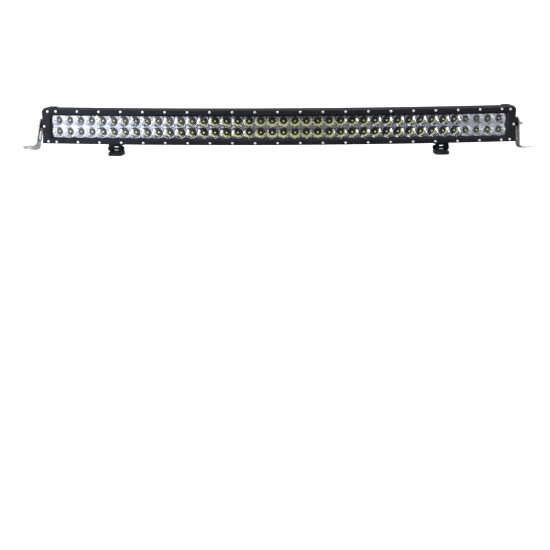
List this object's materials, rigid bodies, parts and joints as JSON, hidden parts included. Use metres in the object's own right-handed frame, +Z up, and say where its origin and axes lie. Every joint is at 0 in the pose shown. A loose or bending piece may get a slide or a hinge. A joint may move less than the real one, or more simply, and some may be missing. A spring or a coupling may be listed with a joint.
{
  "type": "led light bar",
  "caption": "Curved two-row LED light bar with finned housing, clamped clear lens, turning end brackets and sliding, tilting feet in a T-slot.",
  "frame": {"origin": "mid-length of the bar, midway between its front and back, on the surface that the foot pads stand on", "axes": "+X along the bar to the right when it is seen from the lens side, -Y the way it shines, +Z up"},
  "size_m": [1.1505, 0.1019, 0.1061],
  "materials": {
    "housing": "black powder coat, satin",
    "frame": "black powder coat, satin",
    "cap": "black powder coat on die casting",
    "lens": "clear polycarbonate",
    "reflector": "vacuum metallised",
    "board": "white solder mask",
    "led_package": "ceramic package",
    "led_dome": "silicone dome over phosphor",
    "steel": "stainless",
    "bracket": "zinc plated steel",
    "foot": "black powder coat",
    "nut": "zinc plated",
    "rubber": "matt rubber",
    "plastic": "black moulded plastic"
  },
  "bodies": {
    "bar": {"housing": "housing", "frame_rail_top": "frame", "frame_rail_bottom": "frame", "frame_end_left": "frame", "frame_end_right": "frame", "frame_screws": "steel", "lens": "lens", "lens_gasket": "rubber", "flood_reflector_left": "reflector", "flood_reflector_right": "reflector", "spot_reflector_1": "reflector", "spot_reflector_2": "reflector", "spot_reflector_3": "reflector", "spot_reflector_4": "reflector", "spot_reflector_5": "reflector", "spot_reflector_6": "reflector", "spot_reflector_7": "reflector", "spot_reflector_8": "reflector", "led_board_1": "board", "led_board_2": "board", "led_board_3": "board", "led_board_4": "board", "led_board_5": "board", "led_packages": "led_package", "led_domes": "led_dome", "board_screws": "steel", "driver_board_left": "board", "driver_board_right": "board", "driver_parts_left": "plastic", "driver_parts_right": "plastic", "board_standoffs": "plastic", "power_leads": "rubber", "end_cap_left": "cap", "end_cap_right": "cap", "end_cap_gasket_left": "rubber", "end_cap_gasket_right": "rubber", "end_cap_screws": "steel", "bracket_bolt_left": "steel", "bracket_bolt_right": "steel", "bracket_washers_left": "steel", "bracket_washers_right": "steel", "friction_washer_left": "rubber", "friction_washer_right": "rubber", "cable_inlet": "plastic", "breather_vent": "plastic"},
    "left_bracket": {"side_bracket_left": "bracket"},
    "left_foot_slider": {"slide_nut_left": "nut", "foot_neck_left": "foot", "foot_clamp_bolt_left": "steel"},
    "left_foot": {"foot_base_left": "foot", "foot_pad_left": "rubber", "foot_pivot_bolt_left": "steel"},
    "right_bracket": {"side_bracket_right": "bracket"},
    "right_foot_slider": {"slide_nut_right": "nut", "foot_neck_right": "foot", "foot_clamp_bolt_right": "steel"},
    "right_foot": {"foot_base_right": "foot", "foot_pad_right": "rubber", "foot_pivot_bolt_right": "steel"}
  },
  "joints": [
    {"name": "left_bracket_turn", "type": "hinge", "parent": "bar", "child": "left_bracket", "pos_m": [-0.52534, 0.02625, 0.0678], "axis": [0.9838, -0.179, 0], "continuous": true},
    {"name": "left_foot_slide", "type": "hinge", "parent": "bar", "child": "left_foot_slider", "pos_m": [0, 2.799, 0], "axis": [0, 0, 1], "range_deg": [-2.4, 6.2]},
    {"name": "left_foot_tilt", "type": "hinge", "parent": "left_foot_slider", "child": "left_foot", "pos_m": [-0.36482, 0.00471, 0.0145], "axis": [0.9916, -0.1295, 0], "range_deg": [-28, 28]},
    {"name": "right_bracket_turn", "type": "hinge", "parent": "bar", "child": "right_bracket", "pos_m": [0.52534, 0.02625, 0.0678], "axis": [0.9838, 0.179, 0], "continuous": true},
    {"name": "right_foot_slide", "type": "hinge", "parent": "bar", "child": "right_foot_slider", "pos_m": [0, 2.799, 0], "axis": [0, 0, 1], "range_deg": [-6.2, 2.4]},
    {"name": "right_foot_tilt", "type": "hinge", "parent": "right_foot_slider", "child": "right_foot", "pos_m": [0.36482, 0.00471, 0.0145], "axis": [0.9916, 0.1295, 0], "range_deg": [-28, 28]}
  ]
}
